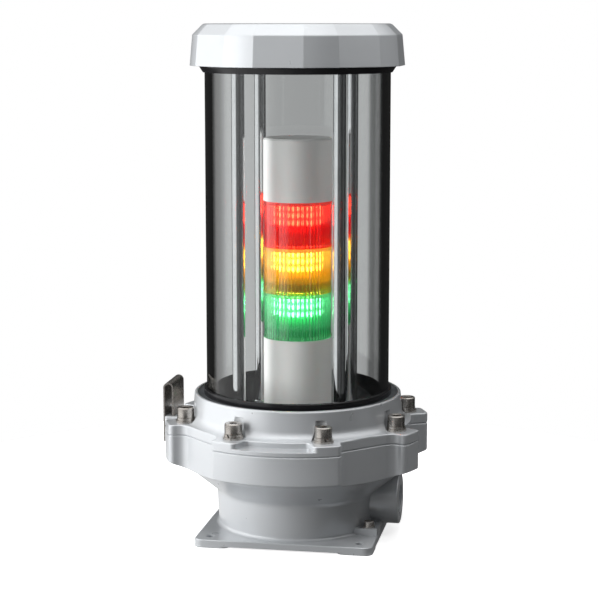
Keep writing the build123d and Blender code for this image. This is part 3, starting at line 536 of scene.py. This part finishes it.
def dress_nodes(steel):
    """Give each carried-over solid its finish."""
    paint = cast_paint()
    bright = polished_steel()
    rubber = black_rubber()
    white_parts = white_plastic()
    finishes = {
        "base_housing": paint,
        "cover_flange": paint,
        "top_cap": paint,
        "glass_tube": clear_glass(),
        "potting_ring": potting_compound(),
        "terminal_block": dark_plastic(),
        "lead_cable": cable_sheath(),
        "centre_pole": turned_metal("pole_aluminium", (0.7, 0.71, 0.72), 0.25, 0.35),
        "pole_nut": bright,
    }
    for name in ("flange_seal", "glass_bead", "cap_gasket", "glass_seat"):
        finishes[name] = rubber
    for name in ("tower_foot", "tower_lower_tube", "tower_head"):
        finishes[name] = white_parts
    for name, node in nodes.items():
        if name.startswith(("tie_rod", "rod_nuts")):
            finishes[name] = bright
        node.data.materials.clear()
        node.data.materials.append(finishes.get(name, steel))
        smooth(node, SOLID_CREASE)


# Lamp tower


def lens_profile(low, top, inner):
    """One tier's section: ribbed bore, stepped joints, and a wall between two proud rims."""
    foot = low + TIER_JOINT
    step_r = inner + JOINT_STEP
    wall_r = TOWER_R - RIM_PROUD
    slope = RIM_H + RIM_SLOPE_H
    return [
        (inner, low),
        (step_r, low),
        (step_r, foot),
        (TOWER_R, foot + RIM_EASE),
        (TOWER_R, foot + RIM_H),
        (wall_r, foot + slope),
        (wall_r, top - slope),
        (TOWER_R, top - RIM_H),
        (TOWER_R, top - RIM_EASE),
        (step_r, top),
        (step_r, top - TIER_JOINT),
        (inner, top - TIER_JOINT),
        (inner, foot + LENS_INNER_FOOT),
    ]


def lens(colour_name):
    """One lens tier with its inner ribs, its lit board and the lamps on it."""
    tier = TIERS[colour_name]
    node = "lens_" + colour_name
    low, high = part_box(node)
    foot = low[2] + TIER_JOINT
    top = high[2]
    inner = TOWER_R - LENS_WALL
    profile = lens_profile(low[2], top, inner)

    def ribs(turn, index):
        if profile[index][0] > inner:
            return 0.0
        return -LENS_RIB_DEPTH * abs(math.sin(turn * LENS_RIBS / 2))

    material = lens_material(node, tier, foot, top)
    steps = LENS_RIBS * LENS_RIB_STEPS
    piece = lathe("dressed_" + node, profile, steps, material, ribs)
    smooth(piece, LENS_CREASE)
    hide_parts(node)
    board = nodes["lamp_board_" + colour_name]
    board.data.materials.clear()
    board.data.materials.append(board_material("board_" + colour_name, tier, foot, top))
    lamps(colour_name, foot)


def lamps(colour_name, foot):
    """The rows of lit lamp faces round a board."""
    build = bmesh.new()
    flat = Matrix.Scale(LED_FLATNESS, 4, (0, 0, 1))
    outward = Matrix.Rotation(math.pi / 2, 4, "Y")
    for row in LED_ROWS:
        for index in range(LED_COLUMNS):
            turn = 2 * math.pi * index / LED_COLUMNS
            spot = Matrix.Rotation(turn, 4, "Z") @ Matrix.Translation((LED_REACH, 0, foot + row))
            shape = spot @ outward @ flat
            bmesh.ops.create_uvsphere(
                build, u_segments=LED_SEGMENTS, v_segments=LED_RINGS, radius=LED_R, matrix=shape
            )
    material = lamp_material("lamp_" + colour_name, TIERS[colour_name])
    piece = mesh_object("lamps_" + colour_name, build, material)
    smooth(piece, LED_CREASE)


# Cover bolts


def knurled_bolts(material):
    """The cover bolts with knurled heads and hexagon sockets."""
    low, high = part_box("cover_bolts")
    top = high[2]
    seat = top - BOLT_HEAD_H
    build = bmesh.new()
    for index in range(BOLT_COUNT):
        turn = 2 * math.pi * (index + 0.5) / BOLT_COUNT
        where = turned(BOLT_CIRCLE_R, turn, 0)
        bolt_head(build, where, seat, top, turn)
        bolt_shank(build, where, low[2], seat)
    piece = mesh_object("knurled_cover_bolts", build, material)
    smooth(piece, BOLT_CREASE)
    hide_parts("cover_bolts")


def head_ring(build, where, radius, height, knurl):
    """Points round a bolt's head, every second one pulled in by the knurl."""
    steps = KNURL_TEETH * 2
    ring = []
    for step in range(steps):
        angle = 2 * math.pi * step / steps
        inset = knurl if step % 2 else 0.0
        ring.append(build.verts.new(where + turned(radius - inset, angle, height)))
    return ring


def bolt_head(build, where, seat, top, turn):
    """One socket head: knurled side, eased rim and a six-sided recess."""
    levels = (
        (BOLT_HEAD_R - HEAD_FOOT_EASE, seat, 0.0),
        (BOLT_HEAD_R, seat + HEAD_FOOT_H, 0.0),
        (BOLT_HEAD_R, seat + KNURL_FOOT, KNURL_DEPTH),
        (BOLT_HEAD_R, top - KNURL_TOP, KNURL_DEPTH),
        (BOLT_HEAD_R, top - HEAD_RIM_H, 0.0),
        (BOLT_HEAD_R - HEAD_RIM_EASE, top, 0.0),
        (BOLT_SOCKET_R + SOCKET_EASE_R, top, 0.0),
    )
    rings = [head_ring(build, where, *level) for level in levels]
    rings.append(hexagon_ring(build, where, top - SOCKET_EASE_H, turn))
    rings.append(hexagon_ring(build, where, top - BOLT_SOCKET_DEPTH, turn))
    for low_ring, high_ring in zip(rings, rings[1:]):
        bridge(build, low_ring, high_ring)
    build.faces.new(rings[-1])
    build.faces.new(list(reversed(rings[0])))


def hexagon_ring(build, where, height, turn):
    """Points round the socket's hexagon, as many as round the head."""
    steps = KNURL_TEETH * 2
    flat = BOLT_SOCKET_R * math.cos(math.pi / 6)
    ring = []
    for step in range(steps):
        angle = 2 * math.pi * step / steps
        local = (angle + turn) % (math.pi / 3) - math.pi / 6
        ring.append(build.verts.new(where + turned(flat / math.cos(local), angle, height)))
    return ring


def bolt_shank(build, where, low, seat):
    """The shank under a head."""
    rings = []
    for height in (low, seat + SHANK_LAP):
        ring = []
        for step in range(SHANK_STEPS):
            angle = 2 * math.pi * step / SHANK_STEPS
            ring.append(build.verts.new(where + turned(SHANK_R, angle, height)))
        rings.append(ring)
    bridge(build, *rings)
    build.faces.new(list(reversed(rings[0])))
    build.faces.new(rings[1])


# Camera


def add_camera():
    """A long lens at the photograph's viewing angle."""
    azimuth = math.radians(CAMERA_AZIMUTH)
    pitch = math.radians(CAMERA_PITCH)
    level = math.cos(pitch)
    forward = Vector((-math.sin(azimuth) * level, math.cos(azimuth) * level, -math.sin(pitch)))
    right = Vector((math.cos(azimuth), math.sin(azimuth), 0))
    target = right * TARGET_RIGHT + Vector((0, 0, TARGET_HEIGHT))
    data = bpy.data.cameras.new("camera")
    data.lens = CAMERA_LENS
    data.sensor_width = CAMERA_FRAME
    camera = bpy.data.objects.new("camera", data)
    camera.location = target - forward * CAMERA_DISTANCE
    camera.rotation_euler = forward.to_track_quat("-Z", "Y").to_euler()
    bpy.context.collection.objects.link(camera)
    bpy.context.scene.camera = camera


# Studio


def studio_turn(tree, vector):
    """The direction round the lamp, 0 to 1, with 0.5 straight behind it."""
    azimuth = math.radians(CAMERA_AZIMUTH)
    across = add(tree, "ShaderNodeVectorMath", operation="DOT_PRODUCT")
    across.inputs[1].default_value = (math.cos(azimuth), math.sin(azimuth), 0)
    along = add(tree, "ShaderNodeVectorMath", operation="DOT_PRODUCT")
    along.inputs[1].default_value = (-math.sin(azimuth), math.cos(azimuth), 0)
    tree.links.new(vector, across.inputs[0])
    tree.links.new(vector, along.inputs[0])
    angle = add(tree, "ShaderNodeMath", operation="ARCTAN2")
    tree.links.new(across.outputs["Value"], angle.inputs[0])
    tree.links.new(along.outputs["Value"], angle.inputs[1])
    turn = add(tree, "ShaderNodeMapRange")
    turn.inputs["From Min"].default_value = -math.pi
    turn.inputs["From Max"].default_value = math.pi
    tree.links.new(angle.outputs["Value"], turn.inputs["Value"])
    return turn.outputs["Result"]


def bands(tree, turn, stops):
    """Brightness round the studio, from stops in degrees."""
    greys = tuple((0.5 + degrees / 360, (level, level, level)) for degrees, level in stops)
    return ramp(tree, turn, greys)


def emitter(tree, colour, kind="ShaderNodeEmission", strength=1.0):
    """A shader that gives off a colour."""
    node = add(tree, kind)
    node.inputs["Strength"].default_value = strength
    tree.links.new(colour, node.inputs["Color"])
    return node.outputs[0]


def white(tree, kind="ShaderNodeEmission", strength=1.0):
    """Plain white light."""
    node = add(tree, kind)
    node.inputs["Color"].default_value = (1, 1, 1, 1)
    node.inputs["Strength"].default_value = strength
    return node.outputs[0]


def choose(tree, factor, first, second):
    """The second shader where the factor is 1, and the first where it is 0."""
    mix = add(tree, "ShaderNodeMixShader")
    tree.links.new(factor, mix.inputs[0])
    tree.links.new(first, mix.inputs[1])
    tree.links.new(second, mix.inputs[2])
    return mix.outputs[0]


def math_node(tree, operation, first, second):
    """One sum of a value with a number, or with another value."""
    node = add(tree, "ShaderNodeMath", operation=operation)
    tree.links.new(first, node.inputs[0])
    if isinstance(second, float):
        node.inputs[1].default_value = second
    else:
        tree.links.new(second, node.inputs[1])
    return node.outputs["Value"]


def above_zero(tree, count):
    """1 where a whole count is over zero."""
    return math_node(tree, "GREATER_THAN", count, 0.5)


def add_floor():
    """A pale floor disc, white to the eye and darker on the right in what it mirrors."""
    build = bmesh.new()
    bmesh.ops.create_circle(build, cap_ends=True, segments=FLOOR_STEPS, radius=FLOOR_R)
    mesh = bpy.data.meshes.new("floor")
    build.to_mesh(mesh)
    build.free()
    floor = bpy.data.objects.new("floor", mesh)
    bpy.context.collection.objects.link(floor)
    mesh.materials.append(floor_material())


def floor_material():
    """White page with a faint shadow to the eye, bands to mirror, and dark grey for bounced light."""
    material, tree, shader = new_material("floor")
    shader.inputs["Base Color"].default_value = FLOOR_GREY
    shader.inputs["Roughness"].default_value = 0.8
    shader.inputs["Specular IOR Level"].default_value = 0.0
    pale = add(tree, "ShaderNodeBsdfDiffuse")
    pale.inputs["Color"].default_value = FLOOR_PALE
    page = add(tree, "ShaderNodeAddShader")
    tree.links.new(pale.outputs["BSDF"], page.inputs[0])
    tree.links.new(white(tree, strength=FLOOR_LIFT), page.inputs[1])
    turn = studio_turn(tree, place(tree))
    mirrored = emitter(tree, bands(tree, turn, FLOOR_MIRRORED))
    path = add(tree, "ShaderNodeLightPath")
    glossy = above_zero(tree, path.outputs["Glossy Depth"])
    surface = choose(tree, glossy, shader.outputs["BSDF"], mirrored)
    surface = choose(tree, path.outputs["Is Camera Ray"], surface, page.outputs["Shader"])
    tree.links.new(surface, tree.nodes["Material Output"].inputs["Surface"])
    return material


def mirrored_room(tree, source, turn, path, kind):
    """What gloss shows: banded walls, a bright ceiling, and near black inside the glass wall."""
    walls = emitter(tree, bands(tree, turn, MIRRORED), kind, MIRRORED_STRENGTH)
    height = add(tree, "ShaderNodeSeparateXYZ")
    tree.links.new(source, height.inputs["Vector"])
    overhead = add(tree, "ShaderNodeMapRange")
    low, high = CEILING_RISE
    overhead.inputs["From Min"].default_value = low
    overhead.inputs["From Max"].default_value = high
    tree.links.new(height.outputs["Z"], overhead.inputs["Value"])
    room = choose(tree, overhead.outputs["Result"], walls, white(tree, kind, CEILING))
    passed = path.outputs["Transmission Depth"]
    entered = above_zero(tree, passed)
    not_through = math_node(tree, "LESS_THAN", passed, GLASS_EDGE_DEPTH)
    in_wall = math_node(tree, "MULTIPLY", entered, not_through)
    return choose(tree, in_wall, room, white(tree, kind, GLASS_EDGE))


def add_world():
    """Page white to the eye, a grey backdrop behind glass, and bright and dark bands to mirror."""
    world = bpy.data.worlds.new("studio")
    bpy.context.scene.world = world
    world.use_nodes = True
    tree = world.node_tree
    kind = "ShaderNodeBackground"
    source = add(tree, "ShaderNodeTexCoord").outputs["Generated"]
    turn = studio_turn(tree, source)
    path = add(tree, "ShaderNodeLightPath")
    seen_through = emitter(tree, bands(tree, turn, BACKDROP), kind)
    mirrored = mirrored_room(tree, source, turn, path, kind)
    soft = emitter(tree, bands(tree, turn, SOFT), kind, AMBIENT)
    shader = choose(tree, above_zero(tree, path.outputs["Glossy Depth"]), seen_through, mirrored)
    shader = choose(tree, above_zero(tree, path.outputs["Diffuse Depth"]), shader, soft)
    shader = choose(tree, path.outputs["Is Camera Ray"], shader, white(tree, kind))
    tree.links.new(shader, tree.nodes["World Output"].inputs["Surface"])


def softbox(name, azimuth, height, distance, size, power, aim):
    """An area lamp beside or over the object, aimed at a point on its axis, and not mirrored."""
    data = bpy.data.lights.new(name, "AREA")
    data.shape = "RECTANGLE"
    data.size, data.size_y = size
    data.energy = power
    lamp = bpy.data.objects.new(name, data)
    turn = math.radians(azimuth)
    lamp.location = (distance * math.sin(turn), -distance * math.cos(turn), height)
    aim_at = Vector((0, 0, aim)) - lamp.location
    lamp.rotation_euler = aim_at.to_track_quat("-Z", "Y").to_euler()
    lamp.visible_transmission = False
    lamp.visible_glossy = False
    bpy.context.collection.objects.link(lamp)


bpy.context.scene.view_settings.view_transform = "Standard"
stainless = turned_metal("stainless", (0.55, 0.52, 0.485), 0.2, 0.36)
dress_nodes(stainless)
for tier_name in TIERS:
    lens(tier_name)
knurled_bolts(stainless)
add_floor()
add_camera()
add_world()
for box_name, box_values in SOFTBOXES.items():
    softbox(box_name, *box_values)
